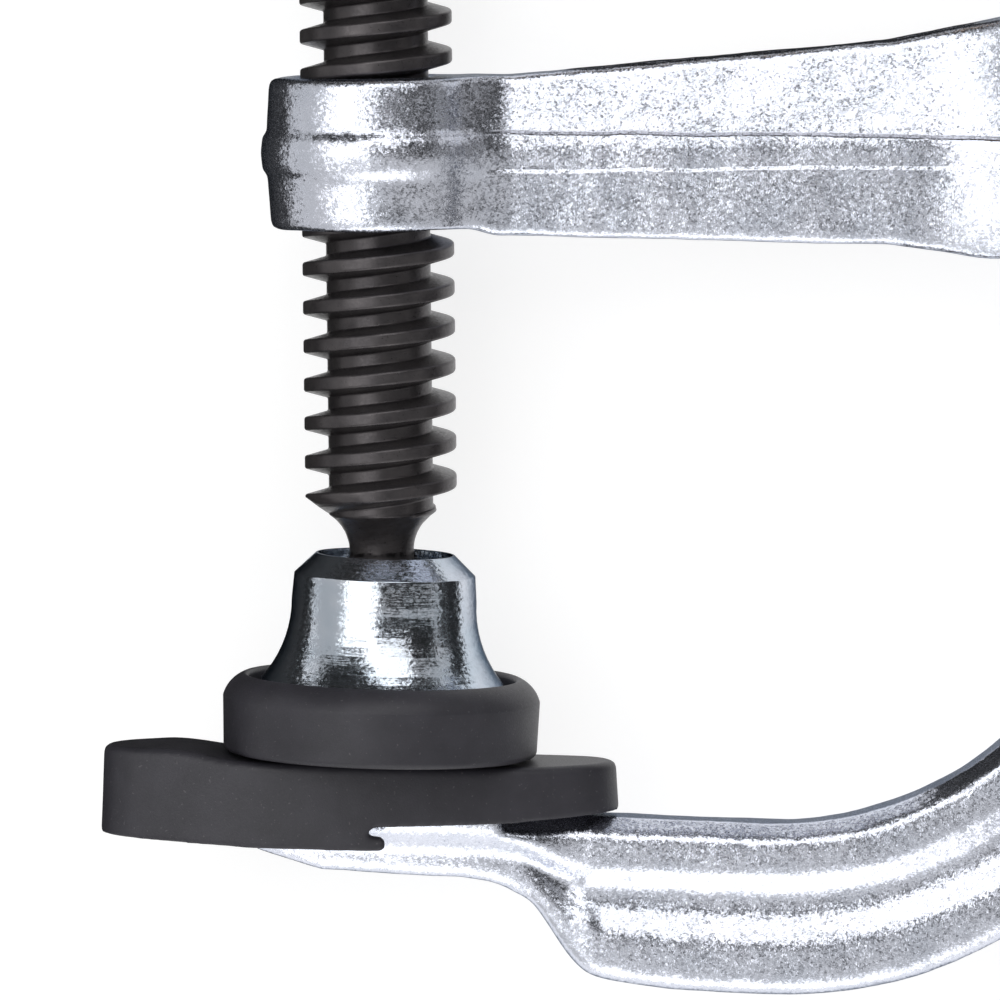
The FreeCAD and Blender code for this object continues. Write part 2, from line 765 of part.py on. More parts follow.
def make_jaw_cap():
    body = new_body("fixed_jaw_cap")
    left, right = s.pad_shift - s.pad_half_length, s.pad_shift + s.pad_half_length
    base = s.pad_skirt + 0.5
    past = s.pad_half_length + 4
    plan = new_sketch(body, "cap_plan", "XZ_Plane", shift=(0, 0, base))
    oval(plan, s.pad_half_length, s.pad_half_width, s.pad_end_r, s.pad_shift)
    feature(body, "Pad", "cap_block", plan, Length=base + s.pad_left_top + 2, Reversed=True,
            TaperAngle=-s.pad_draft)

    # The clamping face: a middle parallel to the pressure plate, and a flat shoulder at each end
    clear = s.pad_left_top + 4
    slope = tangent(s.plate_tilt)
    middle = s.cap_r - 0.6
    top = new_sketch(body, "top_cut_outline", "XY_Plane")
    draw(top, [Corner(s.pad_shift - past, s.pad_left_top), Corner(left + 5.5, s.pad_left_top, 6),
               Corner(-middle, middle * slope, 6), Corner(middle, -middle * slope, 4),
               Corner(s.pad_shift + past, s.pad_right_top),
               Corner(s.pad_shift + past, clear), Corner(s.pad_shift - past, clear)])
    feature(body, "Pocket", "top_cut", top, Type=1, Midplane=True)

    # The lower edge: a deep skirt round the jaw's tip with a hook at its end, then a short skirt
    deep, short = -s.pad_skirt, -s.pad_short_skirt
    hook = short - (s.pad_skirt - s.pad_short_skirt) * 0.4
    under = new_sketch(body, "under_cut_outline", "XY_Plane")
    draw(under, [Corner(s.pad_shift - past, deep + 1.2), Corner(-s.pad_level_half, deep + 0.25),
                 Corner(s.pad_hook_right, deep), Corner(s.pad_hook_right, hook),
                 Corner(s.pad_hook_left, hook), Corner(s.pad_hook_left, short),
                 Corner(s.pad_level_half, short), Corner(right, short + 0.45),
                 Corner(s.pad_shift + past, short + 0.45),
                 Corner(s.pad_shift + past, -clear * 3), Corner(s.pad_shift - past, -clear * 3)])
    feature(body, "Pocket", "under_cut", under, Type=1, Midplane=True)
    round_edges(body, "soft_top", s.pad_edge_r, lambda looks: looks[-1] > 0.8 and looks[0] < 0.5)

    # The cavity for the jaw's head, closed by a thin floor under the tip
    roof_x, roof_y = on_arm(Size.of(0), s.fit_gap - s.anvil_top)
    leaning = {"axis": Vector(0, 1, 0), "turn": -s.jaw_slope}
    cavity = new_sketch(body, "cavity_plan", "XZ_Plane", shift=(roof_x, 0, -roof_y), **leaning)
    oval(cavity, s.pad_half_length - s.pad_wall, s.pad_half_width - s.pad_wall,
         s.pad_end_r - s.pad_wall, s.pad_shift)
    feature(body, "Pocket", "cavity", cavity, Length=s.pad_floor - s.anvil_top + s.fit_gap,
            Reversed=True)
    inner_r = jaw_oval()[0] - s.pad_wall
    low, high = s.pad_mouth_left, s.pad_mouth_right
    widths = [inside_cap(along, Size.of(0)) for along in (low, high)]
    mouth = new_sketch(body, "mouth_plan", "XZ_Plane", shift=(roof_x, 0, -roof_y), **leaning)
    draw(mouth, [Corner(low, -widths[0], bow=inner_r), Corner(high, -widths[1]),
                 Corner(high, widths[1], bow=inner_r), Corner(low, widths[0])])
    feature(body, "Pocket", "mouth", mouth, Length=s.pad_skirt + 2, Reversed=True)
    return body


def arm_plan(body, name, height, eye_grow, arm_grow):
    """The sliding arm seen along the spindle: eye, blend, arm, flare and rail head."""
    sketch = new_sketch(body, name, "XZ_Plane", shift=(0, 0, -height))
    eye, half = s.eye_r + eye_grow, s.arm_half + arm_grow
    blend, flare = s.arm_blend_r, s.head_blend_r
    head = s.head_half
    centre_x = root((eye + blend) * (eye + blend) - (half + blend) * (half + blend))
    eye_x, eye_z = centre_x * eye / (eye + blend), (half + blend) * eye / (eye + blend)
    swell = head - half
    flare_x = s.head_start - root(2 * flare * swell - swell * swell)
    draw(sketch, [
        Corner(eye_x, -eye_z, bow=-blend), Corner(centre_x, -half),
        Corner(flare_x, -half, bow=-flare), Corner(s.head_start, -head),
        Corner(s.head_end, -head, s.head_corner_r), Corner(s.head_end, head, s.head_corner_r),
        Corner(s.head_start, head, bow=-flare), Corner(flare_x, half),
        Corner(centre_x, half, bow=-blend), Corner(eye_x, eye_z, bow=eye, long_way=True)])
    return sketch


def make_sliding_arm():
    body = new_body("sliding_arm")
    parting = s.parting_height
    none = Size.of(0)
    upper = arm_plan(body, "upper_plan", parting, none, none)
    feature(body, "Pad", "upper_half", upper, Length=s.head_high - parting + 1, Reversed=True,
            TaperAngle=-s.forging_draft)
    lower = arm_plan(body, "lower_plan", parting, none, none)
    feature(body, "Pad", "lower_half", lower, Length=parting - s.head_low + 1,
            TaperAngle=-s.forging_draft)

    # The side view: level over the eye, then a rising back and a falling belly to the head
    left, level = -(s.eye_r + 3), s.eye_r + 2
    flare_x = s.head_start - s.head_blend_r * 0.75
    head_x = s.head_start + s.head_step
    run = flare_x - level
    back = s.eye_high + run * tangent(s.arm_rise)
    belly = s.eye_low - run * tangent(s.arm_fall)
    far = s.head_end + 5
    over, below = s.head_high + 10, s.head_low - 10
    sides = new_sketch(body, "side_cut_outline", "XY_Plane")
    for eye, middle, head, beyond in ((s.eye_high, back, s.head_high, over),
                                      (s.eye_low, belly, s.head_low, below)):
        draw(sides, [Corner(left, eye), Corner(level, eye, s.eye_bend_r),
                     Corner(flare_x, middle, s.arm_bend_r), Corner(head_x, head, s.head_bend_r),
                     Corner(far, head), Corner(far, beyond), Corner(left, beyond)])
    feature(body, "Pocket", "side_cut", sides, Type=1, Midplane=True)
    round_edges(body, "soft_edges", s.arm_edge_r,
                lambda looks: (looks[-1] > 0.8 and looks[0] < 0.3)
                or (looks[0] < -0.8 and looks[-1] > -0.3))

    # The trimmed flash of the forging stands out as a band round the parting line
    flash_up = arm_plan(body, "flash_up_plan", parting, s.flash_out, s.flash_arm_out)
    feature(body, "Pad", "flash_up", flash_up, Length=s.flash_high - parting, Reversed=True,
            TaperAngle=-2 * s.forging_draft)
    flash_down = arm_plan(body, "flash_down_plan", parting, s.flash_out, s.flash_arm_out)
    feature(body, "Pad", "flash_down", flash_down, Length=parting - s.flash_low,
            TaperAngle=-2 * s.forging_draft)

    bore = new_sketch(body, "bore_outline", "XZ_Plane")
    circle(bore, 0, 0, s.thread_minor_r + s.thread_gap)
    feature(body, "Pocket", "bore", bore, Type=1, Midplane=True)
    start = crest_below(s.eye_low) - s.thread_pitch
    thread(body, "SubtractiveHelix", "nut_thread", start, s.eye_high + s.thread_pitch - start,
           s.thread_minor_r + s.thread_gap / 2, s.thread_major_r + s.thread_gap,
           s.thread_gap * 0.75)

    window = new_sketch(body, "window_outline", "XZ_Plane")
    near, far_side = s.throat - s.window_gap, s.throat + s.rail_width + s.window_gap
    depth = s.rail_thickness / 2 + s.window_gap
    draw(window, [Corner(near, -depth, s.rail_edge_r), Corner(far_side, -depth, s.rail_edge_r),
                  Corner(far_side, depth, s.rail_edge_r), Corner(near, depth, s.rail_edge_r)])
    feature(body, "Pocket", "window", window, Type=1, Midplane=True)
    return body


# The clamp rests on the pressure cap, the handle and the rail head, turned about the spindle
def resting_turn():
    corner = s.head_corner_r
    out, thick = s.head_end - corner, s.head_half - corner
    lift = (s.handle_r - corner) / root(out * out + thick * thick)
    return arc_sine(lift) - arc_tangent(thick / out)


MAKERS = [make_rail, make_stop_pin, make_jaw_cap, make_sliding_arm, make_spindle, make_ball_ring,
          make_plate, make_plate_cap, make_ferrule, make_handle, make_handle_pin]

bodies = [maker() for maker in MAKERS]
turn = resting_turn()
for piece in bodies:
    piece.Placement = Placement(Vector(0, 0, 0), Rotation(Vector(0, 1, 0), turn.value))
    piece.setExpression("Placement.Rotation.Angle", turn.text)
doc.recompute()

for item in doc.Objects:
    if "Invalid" in item.State or "Error" in item.State:
        raise RuntimeError("%s failed: %s" % (item.Label, item.State))
for piece in bodies:
    if piece.Shape.isNull() or not piece.Shape.isValid():
        raise RuntimeError(piece.Label + " has no valid shape")

os.makedirs("parts", exist_ok=True)
for piece in bodies:
    piece.Shape.exportStep("parts/%s.step" % piece.Label)
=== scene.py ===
import math

import bmesh
import bpy
from mathutils import Matrix, Vector, noise


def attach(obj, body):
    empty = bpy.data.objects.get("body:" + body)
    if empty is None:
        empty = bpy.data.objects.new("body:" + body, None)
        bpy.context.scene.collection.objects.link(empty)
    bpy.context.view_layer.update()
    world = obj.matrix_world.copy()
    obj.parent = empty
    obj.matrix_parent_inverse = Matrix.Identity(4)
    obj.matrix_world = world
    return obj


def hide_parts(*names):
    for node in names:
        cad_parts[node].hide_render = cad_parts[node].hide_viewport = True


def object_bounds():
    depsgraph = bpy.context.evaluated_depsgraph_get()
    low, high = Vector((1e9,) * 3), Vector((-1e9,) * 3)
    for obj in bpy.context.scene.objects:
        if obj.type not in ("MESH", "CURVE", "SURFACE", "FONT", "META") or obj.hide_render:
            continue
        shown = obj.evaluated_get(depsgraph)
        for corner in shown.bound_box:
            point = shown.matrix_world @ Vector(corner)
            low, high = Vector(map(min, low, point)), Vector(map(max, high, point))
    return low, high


# A small sliding-arm screw clamp, lying on its side. Pieces are drawn in the clamp's own frame in
# millimetres: +Y along the spindle and the rail, +X from the spindle towards the rail, and +Z up.
# The whole clamp is then turned a little about +Y, as it lies on handle, cap and rail head.

MM = 0.001
REST_TURN = math.radians(3.843)
LYING = Matrix.Rotation(REST_TURN, 4, "Y")
PLATE_LEAN = math.radians(2.2)
# Painted shade: a near-black edge tint, which darkens the metal's reflections at grazing angles
# into dark lines at silhouettes and edges.
PAINTED_EDGE_SHADE = (0.08, 0.10, 0.13, 1)
PARTING_LOW = 48.4
FLASH_LOW = 45.5
WELD = 0.002 * MM
SKIN_SEED = 5

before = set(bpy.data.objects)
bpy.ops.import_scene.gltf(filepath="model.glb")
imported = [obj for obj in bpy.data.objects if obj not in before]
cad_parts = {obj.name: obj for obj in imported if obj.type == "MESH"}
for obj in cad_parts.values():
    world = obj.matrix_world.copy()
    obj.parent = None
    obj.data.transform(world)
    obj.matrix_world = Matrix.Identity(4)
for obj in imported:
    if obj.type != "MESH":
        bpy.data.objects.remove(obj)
cad_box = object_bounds()
noise.seed_set(SKIN_SEED)


class Wire:
    """A node's output, with arithmetic that adds Math nodes to its tree."""

    def __init__(self, graph, socket):
        self.graph = graph
        self.socket = socket

    def out(self, name):
        return Wire(self.graph, self.graph.find(self.socket.node.outputs, name))

    def joined(self, operation, left, right):
        return self.graph.node("ShaderNodeMath", {"operation": operation}, {0: left, 1: right})

    def __add__(self, other):
        return self.joined("ADD", self, other)

    def __radd__(self, other):
        return self.joined("ADD", other, self)

    def __sub__(self, other):
        return self.joined("SUBTRACT", self, other)

    def __rsub__(self, other):
        return self.joined("SUBTRACT", other, self)

    def __mul__(self, other):
        return self.joined("MULTIPLY", self, other)

    def __rmul__(self, other):
        return self.joined("MULTIPLY", other, self)

    def __truediv__(self, other):
        return self.joined("DIVIDE", self, other)

    def __rtruediv__(self, other):
        return self.joined("DIVIDE", other, self)


class Graph:
    """A node tree, and the one way its nodes are added."""

    def __init__(self, tree):
        self.tree = tree

    @staticmethod
    def find(sockets, key):
        live = [socket for socket in sockets if not socket.is_unavailable]
        if isinstance(key, int):
            return live[key]
        return next(socket for socket in live if socket.name == key)

    def node(self, kind, settings=None, sockets=None):
        made = self.tree.nodes.new(kind)
        for key, value in (settings or {}).items():
            if key == "stops":
                for stop in value[len(made.color_ramp.elements):]:
                    made.color_ramp.elements.new(stop[0])
                for element, (place, shade) in zip(made.color_ramp.elements, value):
                    element.position = place
                    element.color = (shade, shade, shade, 1)
            else:
                setattr(made, key, value)
        for key, value in (sockets or {}).items():
            socket = self.find(made.inputs, key)
            if isinstance(value, Wire):
                self.tree.links.new(value.socket, socket)
            else:
                socket.default_value = value
        live = [socket for socket in made.outputs if not socket.is_unavailable]
        return Wire(self, live[0]) if live else None

    def ramp(self, value, *stops):
        return self.node("ShaderNodeValToRGB", {"stops": stops}, {"Fac": value})

    def blend(self, factor, first, second):
        first, second = [(*colour, 1) if isinstance(colour, tuple) else colour
                         for colour in (first, second)]
        return self.node("ShaderNodeMix", {"data_type": "RGBA"},
                         {"Factor": factor, "A": first, "B": second})

    def stretched(self, vector, across, along, up):
        return self.node("ShaderNodeVectorMath", {"operation": "MULTIPLY"},
                         {0: vector, 1: (across, along, up)})

    def cloud(self, vector, size, detail=2.0, rough=0.55):
        """Soft noise whose grains measure about size, in millimetres."""
        return self.node("ShaderNodeTexNoise", None,
                         {"Vector": vector, "Scale": 1 / (size * MM), "Detail": detail,
                          "Roughness": rough})


class Finish(Graph):
    """A material built on one Principled shader."""

    def __init__(self, name, lean=0.0):
        self.material = bpy.data.materials.new(name)
        self.material.use_nodes = True
        super().__init__(self.material.node_tree)
        self.shader = self.tree.nodes["Principled BSDF"]
        place = self.node("ShaderNodeTexCoord").out("Object")
        turned_back = {"Vector": place, "Rotation": (0, -REST_TURN, lean)}
        self.place = self.node("ShaderNodeMapping", None, turned_back)

    def surface(self, **sockets):
        for key, value in sockets.items():
            socket = self.shader.inputs[key.replace("_", " ")]
            if isinstance(value, Wire):
                self.tree.links.new(value.socket, socket)
            else:
                socket.default_value = value
        return self.material

    def facets(self, size, tilt):
        """The surface's normal, leaning another way on each grain of a size in millimetres."""
        cells = self.node("ShaderNodeTexVoronoi", None,
                          {"Vector": self.place, "Scale": 1 / (size * MM)}).out("Color")
        lean = self.node("ShaderNodeVectorMath", {"operation": "MULTIPLY_ADD"},
                         {0: cells, 1: (tilt, tilt, tilt), 2: (-tilt / 2, -tilt / 2, -tilt / 2)})
        normal = self.node("ShaderNodeNewGeometry").out("Normal")
        tipped = self.node("ShaderNodeVectorMath", {"operation": "ADD"}, {0: normal, 1: lean})
        return self.node("ShaderNodeVectorMath", {"operation": "NORMALIZE"}, {0: tipped})

    def bump(self, height, depth, under=None):
        sockets = {"Height": height, "Distance": depth * MM, "Strength": 1.0}
        if under:
            sockets["Normal"] = under
        return self.node("ShaderNodeBump", None, sockets)


def forged_zinc(name, parting=False):
    """Blasted and bright zinc-plated steel: small sparkling facets on a softly uneven skin. The
    arm's two halves meet at a fine sunk parting line, which is also darkened with painted shade,
    with the trimmed flash as a low step under it."""
    finish = Finish(name)
    facets = finish.facets(0.18, 0.20)
    grain = finish.cloud(finish.place, 0.13, 2.0, 0.6)
    dents = finish.cloud(finish.place, 2.6, 2.0)
    patches = finish.cloud(finish.place, 5.0, 3.0)
    colour = finish.blend(finish.ramp(patches, (0.35, 0), (0.65, 1)),
                          (0.71, 0.745, 0.84), (0.81, 0.835, 0.93))
    rough = 0.20 + 0.09 * finish.ramp(grain, (0.3, 0), (0.7, 1))
    skin = finish.bump(dents, 0.06, facets)
    if parting:
        parts = finish.node("ShaderNodeSeparateXYZ", None, {"Vector": finish.place})
        along, height = parts.out("X") / MM, parts.out("Y") / MM
        waver = finish.cloud(finish.stretched(finish.place, 1, 0.2, 1), 7.0, 2.0)
        fine = finish.cloud(finish.place, 0.4, 2.0)
        height = height + 0.5 * (waver - 0.5) + 0.16 * (fine - 0.5)
        parted = height + 0.020 * along - PARTING_LOW
        # This mask sinks the parting line in the bump, and it also paints shade along that line in
        # the colour.
        crease_and_painted_shade = finish.ramp(parted, (0.28, 0), (0.40, 1), (0.56, 1), (0.66, 0))
        past_eye = finish.ramp(along / 20, (0.40, 0.1), (0.50, 1))
        step = finish.ramp(height - FLASH_LOW, (0.0, 1), (0.30, 0))
        skin = finish.bump((step * 0.7 - crease_and_painted_shade * 0.5) * past_eye, 0.12, skin)
        # Painted shade: the colour darkens along the sunk parting line past the eye.
        colour = finish.blend(crease_and_painted_shade * past_eye * (0.35 + 0.5 * fine), colour, (0.12, 0.12, 0.15))
    # The edge tint paints shade into the reflection at grazing angles.
    return finish.surface(Base_Color=colour, Metallic=1.0, Roughness=rough,
                          Specular_Tint=PAINTED_EDGE_SHADE, Normal=finish.bump(grain, 0.020, skin))


def bright_zinc():
    """Turned steel, polished and bright zinc-plated, with fine marks round the axis."""
    finish = Finish("bright_zinc", PLATE_LEAN)
    marks = finish.cloud(finish.stretched(finish.place, 0.05, 1.0, 0.05), 0.13, 3.0, 0.65)
    streaks = finish.cloud(finish.stretched(finish.place, 0.2, 1.0, 0.2), 0.28, 2.0)
    specks = finish.cloud(finish.place, 0.30, 2.0)
    patches = finish.cloud(finish.place, 4.0, 2.0)
    colour = finish.blend(finish.ramp(patches, (0.35, 0), (0.65, 1)),
                          (0.55, 0.62, 0.70), (0.68, 0.72, 0.79))
    rough = 0.12 + 0.12 * finish.ramp(specks, (0.35, 0), (0.7, 1))
    skin = finish.bump(specks * 0.6 + streaks * 0.7, 0.022, finish.facets(0.20, 0.09))
    # The edge tint paints shade into the reflection at grazing angles.
    return finish.surface(Base_Color=colour, Metallic=1.0, Roughness=rough,
                          Specular_Tint=PAINTED_EDGE_SHADE, Normal=finish.bump(marks, 0.010, skin))


def black_steel():
    """Rolled steel with a brown-black oxide skin and faint marks along the rolling."""
    finish = Finish("black_steel")
    marks = finish.cloud(finish.stretched(finish.place, 0.12, 1.0, 0.12), 0.12, 3.0, 0.6)
    grain = finish.cloud(finish.place, 0.2, 2.0)
    patches = finish.cloud(finish.place, 2.5, 3.0)
    colour = finish.blend(finish.ramp(patches, (0.35, 0), (0.7, 1)),
                          (0.058, 0.053, 0.056), (0.098, 0.090, 0.092))
    rough = 0.27 + 0.16 * finish.ramp(grain, (0.3, 0), (0.7, 1))
    return finish.surface(Base_Color=colour, Metallic=0.7, Roughness=rough,
                          Normal=finish.bump(marks * 0.6 + grain * 0.4, 0.018))


def black_plastic():
    """Moulded charcoal plastic with a fine matt texture."""
    finish = Finish("black_plastic")
    grain = finish.cloud(finish.place, 0.15, 2.0)
    patches = finish.cloud(finish.place, 3.0, 3.0)
    dust = finish.ramp(finish.cloud(finish.place, 0.26, 1.0), (0.70, 0), (0.76, 1))
    colour = finish.blend(finish.ramp(patches, (0.3, 0), (0.7, 1)),
                          (0.0200, 0.0192, 0.0252), (0.0295, 0.0282, 0.0362))
    colour = finish.blend(dust * 0.3, colour, (0.13, 0.12, 0.13))
    rough = 0.44 + 0.12 * finish.ramp(grain, (0.3, 0), (0.7, 1))
    return finish.surface(Base_Color=colour, Roughness=rough,
                          Normal=finish.bump(grain, 0.014))


def turned_wood():
    """Lacquered beech, its grain running along the handle."""
    finish = Finish("turned_wood")
    bent = finish.cloud(finish.stretched(finish.place, 1, 0.1, 1), 6.0, 3.0)
    fibres = finish.cloud(finish.stretched(finish.place, 1, 0.03, 1), 0.25, 3.0, 0.6)
    flecks = finish.cloud(finish.stretched(finish.place, 1, 0.12, 1), 0.35, 1.0)
    rings = finish.node("ShaderNodeTexWave", {"wave_type": "BANDS", "bands_direction": "X"},
                        {"Vector": finish.stretched(finish.place, 1, 0.04, 0.3), "Scale": 90.0,
                         "Distortion": 6.0, "Detail": 2.0})
    colour = finish.blend(finish.ramp(rings, (0.2, 0), (0.9, 1)),
                          (0.50, 0.27, 0.11), (0.62, 0.37, 0.17))
    colour = finish.blend(finish.ramp(bent, (0.3, 0), (0.7, 0.5)), colour, (0.66, 0.41, 0.20))
    colour = finish.blend(finish.ramp(flecks, (0.62, 0), (0.72, 0.6)), colour, (0.27, 0.12, 0.05))
    colour = finish.blend(finish.ramp(fibres, (0.4, 0), (0.8, 0.35)), colour, (0.40, 0.21, 0.09))
    return finish.surface(Base_Color=colour, Roughness=0.32 + 0.12 * fibres,
                          Normal=finish.bump(fibres + flecks * 0.4, 0.02))


def new_piece(name, mesh):
    piece = bpy.data.objects.new(name, mesh)
    bpy.context.scene.collection.objects.link(piece)
    return piece


def settled(piece):
    """The piece with its modifiers made part of its mesh."""
    evaluated = piece.evaluated_get(bpy.context.evaluated_depsgraph_get())
    mesh = bpy.data.meshes.new_from_object(evaluated)
    piece.modifiers.clear()
    piece.data = mesh
    return piece


def dressed(piece, material, body, slot, *nodes, sharp=None):
    """Give a finished piece its material and its body, and hide the CAD nodes that it stands for.
    """
    mesh = piece.data
    mesh.materials.clear()
    mesh.materials.append(material)
    mesh.shade_smooth()
    if sharp:
        mesh.set_sharp_from_angle(angle=math.radians(sharp))
    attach(piece, body)
    if nodes:
        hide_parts(*nodes)


def modified(piece, kind, **settings):
    item = piece.modifiers.new(kind.lower(), kind)
    for key, value in settings.items():
        setattr(item, key, value)
    return item


def merged_copy(node, name):
    """A CAD node's shape as one closed mesh of a piece's own."""
    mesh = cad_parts[node].data.copy()
    mesh.name = name
    shape = bmesh.new()
    shape.from_mesh(mesh)
    bmesh.ops.remove_doubles(shape, verts=shape.verts, dist=WELD)
    shape.to_mesh(mesh)
    shape.free()
    return new_piece(name, mesh)


def softened(node, name, grain, rounds, moved):
    """A CAD node's shape on a fine even mesh, moved by a rule, its edges softened."""
    piece = merged_copy(node, name)
    modified(piece, "REMESH", mode="VOXEL", voxel_size=grain * MM)
    settled(piece)
    back = LYING.inverted()
    for vertex in piece.data.vertices:
        vertex.co = LYING @ (moved(back @ vertex.co / MM) * MM)
    modified(piece, "SMOOTH", factor=0.5, iterations=rounds)
    return settled(piece)


def eased(value, low, high):
    """0 below low, 1 above high, and a soft step between."""
    share = min(max((value - low) / (high - low), 0.0), 1.0)
    return share * share * (3 - 2 * share)


class Corner:
    """A point of an outline, in millimetres. The way on from it is straight, or an arc of radius
    bow with its centre to the left, or to the right of a negative one. soft rounds the corner."""

    def __init__(self, x, y, soft=0.0, bow=0.0):
        self.at = Vector((x, y))
        self.soft = soft
        self.bow = bow


HOLD = 0.05


def arc_points(start, end, bow, step):
    chord = end - start
    middle = (start + end) / 2
    left = Vector((-chord.y, chord.x)).normalized()
    rise = math.sqrt(max(bow * bow - chord.length_squared / 4, 0.0))
    centre = middle + left * math.copysign(rise, bow)
    first = start - centre
    sweep = 2 * math.asin(min(chord.length / 2 / abs(bow), 1.0))
    steps = max(2, math.ceil(sweep / math.radians(step)))
    turn = math.copysign(sweep / steps, bow)
    return [centre + Matrix.Rotation(turn * count, 2) @ first for count in range(1, steps)]


def held(points):
    """The points, with one more close by each end of every straight side."""
    more = []
    for here, there in zip(points, points[1:]):
        more.append(here)
        way = there - here
        if way.length > 4 * HOLD:
            more += [here + way.normalized() * HOLD, there - way.normalized() * HOLD]
    return more + [points[-1]]


def outline(corners, step=5):
    """Points along an open outline through the corners, arcs in steps of some degrees."""
    points = []
    last = len(corners) - 1
    for index, corner in enumerate(corners):
        if corner.soft and 0 < index < last:
            back = (corners[index - 1].at - corner.at).normalized()
            ahead = (corners[index + 1].at - corner.at).normalized()
            trim = corner.soft / math.tan(back.angle(ahead) / 2)
            first, second = corner.at + back * trim, corner.at + ahead * trim
            side = math.copysign(corner.soft, back.y * ahead.x - back.x * ahead.y)
            points += [first, *arc_points(first, second, side, step), second]
        else:
            points.append(corner.at)
        if corner.bow:
            points += arc_points(points[-1], corners[index + 1].at, corner.bow, step)
    return held(points)


def swept_mesh(name, points, columns, rise=0.0, keep=None):
    """Points of (radius, height) turned once about the spindle axis, rising by a pitch."""
    mesh = bpy.data.meshes.new(name)
    places = []
    for column in range(columns + 1):
        angle = 2 * math.pi * column / columns
        for radius, height in points:
            places.append(Vector((radius * math.cos(angle), height + rise * column / columns,
                                  -radius * math.sin(angle))))
    rows = len(points)
    faces = [(a, a + 1, a + rows + 1, a + rows)
             for column in range(columns)
             for a in range(column * rows, (column + 1) * rows - 1)]
    lay = LYING if keep is None else LYING @ keep
    mesh.from_pydata([lay @ (place * MM) for place in places], [], faces)
    return mesh


def tidied(piece):
    """Weld the seams of a mesh and turn its faces outwards."""
    shape = bmesh.new()
    shape.from_mesh(piece.data)
    bmesh.ops.remove_doubles(shape, verts=shape.verts, dist=WELD)
    bmesh.ops.recalc_face_normals(shape, faces=shape.faces)
    shape.to_mesh(piece.data)
    shape.free()
    return piece


# The spindle's sizes: the thread begins on a cone that comes down to the neck's radius.

BALL_HEIGHT = 8.5
THREAD_PITCH = 3.0
THREAD_PHASE = 0.6
THREAD_FIRST = 4
THREAD_TURNS = 30
THREAD_START = 15.8
THREAD_LOW = 20.4
THREAD_END = 99.9
THREAD_STEPS = 96
NECK_R = 2.5
NECK_SWEEP_R = 3.4
NECK_STEEP = 0.7536
MAJOR_R = 5.9
MINOR_R = 4.05
CREST_HALF = 0.5
CREST_SOFT = 0.22
ROOT_SOFT = 0.18
FLANK_LEAN = math.radians(15)


def turned(name, corners, lean=0.0, columns=192):
    """A turned piece, its own axis leaning about the centre of the spindle's ball."""
    ball = Matrix.Translation(Vector((0, BALL_HEIGHT, 0)) * MM)
    keep = ball @ Matrix.Rotation(-lean, 4, "Z") @ ball.inverted()
    return tidied(new_piece(name, swept_mesh(name, outline(corners), columns, keep=keep)))


def row_tree():
    """A row of copies of one thing, made real and given their finish."""
    tree = bpy.data.node_groups.new("row", "GeometryNodeTree")
    for name, kind, side in (("Thing", "NodeSocketGeometry", "INPUT"),
                             ("Count", "NodeSocketInt", "INPUT"),
                             ("Step", "NodeSocketVector", "INPUT"),
                             ("Finish", "NodeSocketMaterial", "INPUT"),
                             ("Row", "NodeSocketGeometry", "OUTPUT")):
        tree.interface.new_socket(name, in_out=side, socket_type=kind)
    graph = Graph(tree)
    given = graph.node("NodeGroupInput")
    line = graph.node("GeometryNodeMeshLine", {"mode": "OFFSET"},
                      {"Count": given.out("Count"), "Offset": given.out("Step")})
    copies = graph.node("GeometryNodeInstanceOnPoints", None,
                        {"Points": line, "Instance": given.out("Thing")})
    real = graph.node("GeometryNodeRealizeInstances", None, {"Geometry": copies})
    coated = graph.node("GeometryNodeSetMaterial", None,
                        {"Geometry": real, "Material": given.out("Finish")})
    graph.node("NodeGroupOutput", None, {"Row": coated})
    return tree


def in_a_row(piece, count, step, material):
    """Repeat a piece's mesh along a step."""
    row = modified(piece, "NODES", node_group=row_tree())
    for item in row.node_group.interface.items_tree:
        value = {"Count": count, "Step": step, "Finish": material}.get(item.name)
        if value is not None:
            row[item.identifier] = value
    return settled(piece)


def neck_radius(height):
    """How wide the turned end of the thread may be: a cone that sweeps into the neck."""
    foot = THREAD_LOW - (MAJOR_R - NECK_R) * NECK_STEEP
    lean = math.atan(NECK_STEEP)
    trim = NECK_SWEEP_R * math.tan((math.pi / 2 - lean) / 2)
    if height <= foot - trim:
        return NECK_R
    rise = height - foot + trim
    if rise < NECK_SWEEP_R * math.cos(lean):
        return NECK_R + NECK_SWEEP_R - math.sqrt(NECK_SWEEP_R ** 2 - rise * rise)
    return NECK_R + (height - foot) / NECK_STEEP


def thread_piece(material):
    """The rolled thread: one turn with rounded crests, repeated along the spindle."""
    foot = CREST_HALF + (MAJOR_R - MINOR_R) * math.tan(FLANK_LEAN)
    tooth = outline([Corner(MINOR_R, -THREAD_PITCH / 2), Corner(MINOR_R, -foot, ROOT_SOFT),
                     Corner(MAJOR_R, -CREST_HALF, CREST_SOFT),
                     Corner(MAJOR_R, CREST_HALF, CREST_SOFT),
                     Corner(MINOR_R, foot, ROOT_SOFT), Corner(MINOR_R, THREAD_PITCH / 2)],
                    step=25)
    low = THREAD_PHASE + THREAD_PITCH * THREAD_FIRST
    turn = swept_mesh("thread_turn", [(radius, low + height) for radius, height in tooth],
                      THREAD_STEPS, rise=THREAD_PITCH)
    piece = in_a_row(new_piece("spindle_thread", turn), THREAD_TURNS,
                     Vector((0, THREAD_PITCH * MM, 0)), material)
    for vertex in piece.data.vertices:
        place = vertex.co / MM
        height = min(max(place.y, THREAD_START), THREAD_END)
        radius = math.hypot(place.x, place.z)
        fit = min(radius, neck_radius(height)) / radius
        vertex.co = Vector((place.x * fit, height, place.z * fit)) * MM
    return tidied(piece)


